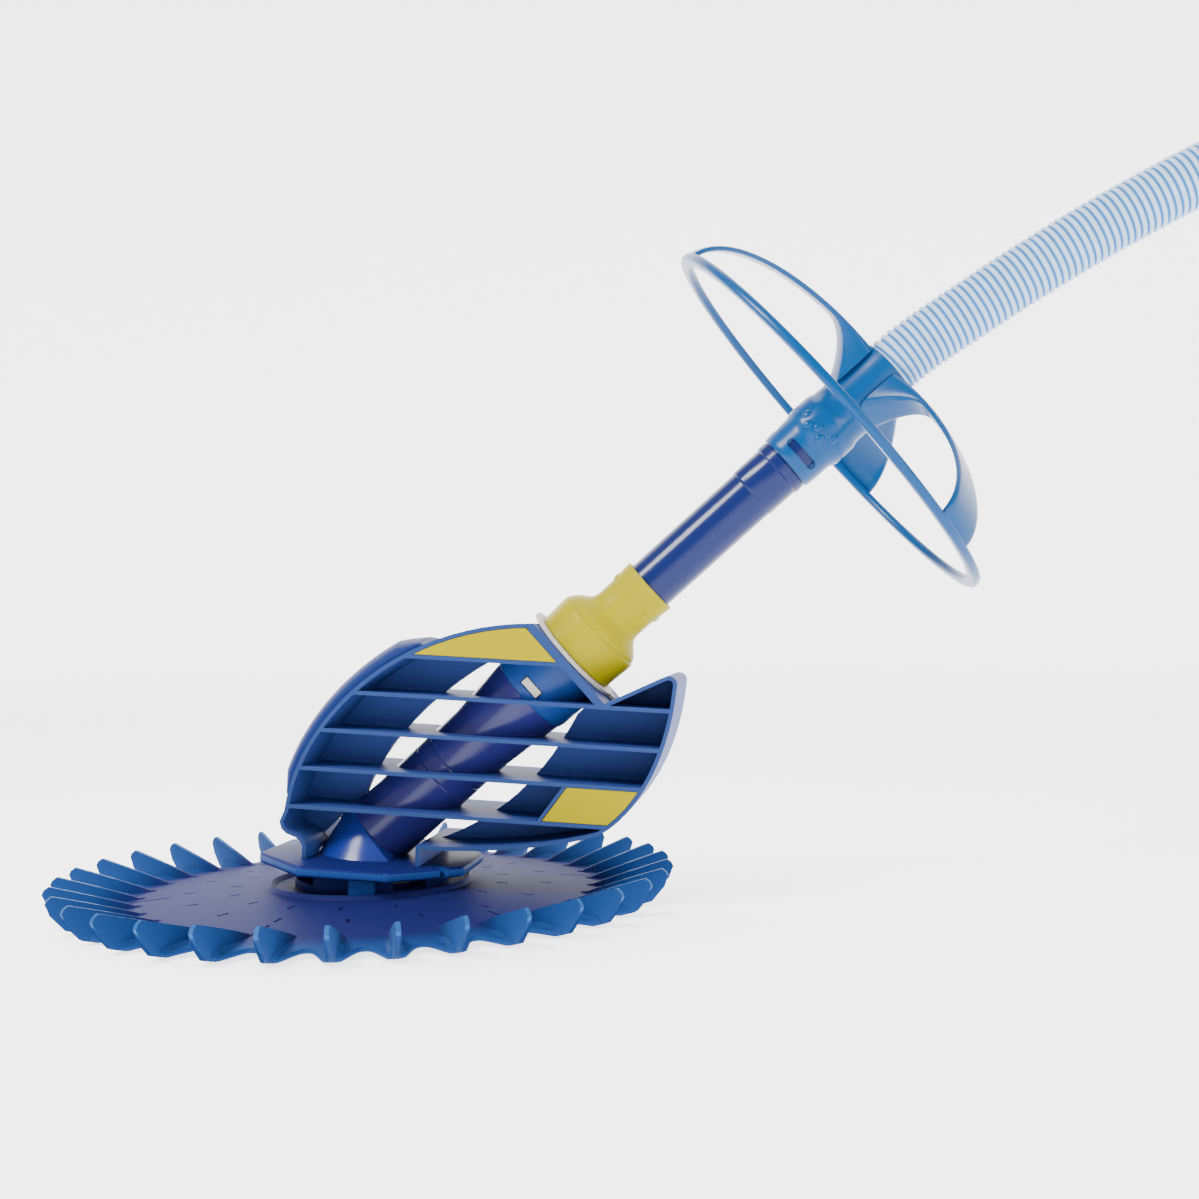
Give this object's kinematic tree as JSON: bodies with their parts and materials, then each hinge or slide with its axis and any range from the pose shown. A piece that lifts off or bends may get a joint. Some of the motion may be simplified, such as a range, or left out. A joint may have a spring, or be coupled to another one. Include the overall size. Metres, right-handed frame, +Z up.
{
  "type": "suction pool cleaner",
  "caption": "Suction pool cleaner: finned spinning disc on a rubber foot, slatted fin body round a slanted tube, hand nut, extension pipe, free-turning deflector wheel and ribbed hose.",
  "frame": {"origin": "on the floor under the middle of the model's length, hose left out", "axes": "+X from the disc towards the hose, along the length; +Y across; +Z up, with the foot and blades standing on Z = 0"},
  "size_m": [1.0662, 0.41, 0.512],
  "materials": {
    "navy_plastic": "moulded navy, glossy",
    "blue_plastic": "moulded blue, semi-gloss",
    "disc_rubber": "flexible moulded sheet, satin",
    "wheel_plastic": "moulded bright blue, glossy",
    "yellow_plastic": "moulded yellow, semi-gloss",
    "white_plastic": "off-white moulding",
    "hose_plastic": "pale blue ribbed hose",
    "black_rubber": "black rubber",
    "steel": "stainless screws"
  },
  "bodies": {
    "base": {"foot_pad": "black_rubber", "foot_flange": "blue_plastic", "lower_elbow": "blue_plastic", "body_tube": "navy_plastic", "upper_collar": "blue_plastic", "cassette_outer": "black_rubber", "cassette_inner": "white_plastic", "diaphragm": "black_rubber", "diaphragm_ring": "yellow_plastic", "fin_shell_left": "blue_plastic", "fin_shell_right": "blue_plastic", "bumper_strap": "blue_plastic", "upper_panel_left": "yellow_plastic", "upper_panel_right": "yellow_plastic", "lower_panel_left": "yellow_plastic", "lower_panel_right": "yellow_plastic", "shell_screws": "steel", "inner_extension_pipe": "white_plastic", "outer_extension_pipe": "navy_plastic", "pipe_seal": "black_rubber", "hose_cuff": "black_rubber", "hose": "hose_plastic", "hose_far_cuff": "hose_plastic"},
    "disc": {"disc": "disc_rubber"},
    "clamp_ring": {"compression_ring": "white_plastic"},
    "nut": {"hand_nut": "yellow_plastic"},
    "wheel": {"deflector_wheel": "wheel_plastic"},
    "latch": {"cassette_latch": "white_plastic"}
  },
  "joints": [
    {"name": "disc_spin", "type": "hinge", "parent": "base", "child": "disc", "pos_m": [-0.10145, 0, 0.0105], "axis": [0, 0, 1], "continuous": true},
    {"name": "ring_lift", "type": "slide", "parent": "base", "child": "clamp_ring", "axis": [0.7547, 0, 0.6561], "range_m": [0, 0.008]},
    {"name": "nut_turn", "type": "hinge", "parent": "clamp_ring", "child": "nut", "pos_m": [0.05256, 0, 0.17511], "axis": [0.7547, 0, 0.6561], "range_deg": [0, 720]},
    {"name": "wheel_spin", "type": "hinge", "parent": "base", "child": "wheel", "pos_m": [0.21029, 0, 0.31222], "axis": [0.7547, 0, 0.6561], "continuous": true},
    {"name": "latch_press", "type": "slide", "parent": "base", "child": "latch", "axis": [0, 1, 0], "range_m": [0, 0.002], "stiffness_N_per_m": 400}
  ],
  "couplings": [
    {"joint": "nut_turn", "follows": "ring_lift", "rad_per_m": 1570.8}
  ]
}
